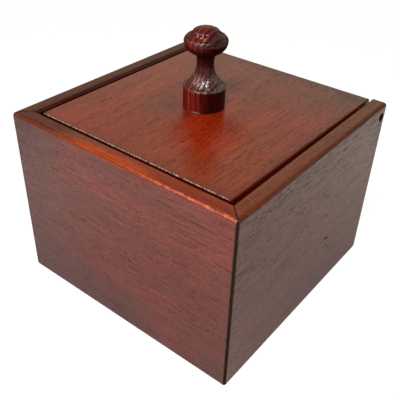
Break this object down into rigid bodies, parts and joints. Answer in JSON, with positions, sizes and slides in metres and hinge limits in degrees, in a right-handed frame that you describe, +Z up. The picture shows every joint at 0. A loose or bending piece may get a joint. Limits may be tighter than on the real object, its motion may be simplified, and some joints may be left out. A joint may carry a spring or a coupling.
{
  "type": "wooden puzzle box",
  "caption": "Square stained wooden puzzle box with a pin-hinged lid, a turned knob that works a hidden latch, and loose lock pins in the lid.",
  "frame": {"origin": "middle of the underside, on the surface that the box stands on", "axes": "+Z up, -Y out of the front wall, +X out of the right wall"},
  "size_m": [0.1, 0.1, 0.1018],
  "materials": {
    "stained_board": "red mahogany stain under gloss lacquer",
    "dark_turning": "dark red stain under gloss lacquer",
    "bare_wood": "sanded, unstained",
    "brass": "dull",
    "steel": "plain"
  },
  "bodies": {
    "case": {"front_wall": "stained_board", "left_wall": "stained_board", "right_wall": "stained_board", "rear_wall": "stained_board", "base_panel": "bare_wood", "left_cleat": "bare_wood", "right_cleat": "bare_wood", "left_hinge_pin": "brass", "right_hinge_pin": "brass"},
    "lid": {"lid_panel": "stained_board", "left_pin_bush": "bare_wood", "right_pin_bush": "bare_wood"},
    "knob_set": {"knob": "dark_turning", "knob_spindle": "bare_wood", "latch_spacer": "bare_wood", "latch_bar": "bare_wood", "latch_washer": "steel", "latch_screw": "steel"},
    "left_pin": {"left_lock_pin": "brass"},
    "right_pin": {"right_lock_pin": "brass"}
  },
  "joints": [
    {"name": "lid_hinge", "type": "hinge", "parent": "case", "child": "lid", "pos_m": [0, 0.0465, 0.0672], "axis": [-1, 0, 0], "range_deg": [0, 115]},
    {"name": "knob_turn", "type": "hinge", "parent": "lid", "child": "knob_set", "pos_m": [-0.0028, 0.002, 0.0717], "axis": [0, 0, -1], "range_deg": [0, 90]},
    {"name": "left_pin_slide", "type": "slide", "parent": "lid", "child": "left_pin", "axis": [0, -1, 0], "range_m": [0, 0.005]},
    {"name": "right_pin_slide", "type": "slide", "parent": "lid", "child": "right_pin", "axis": [0, -1, 0], "range_m": [0, 0.005]}
  ]
}
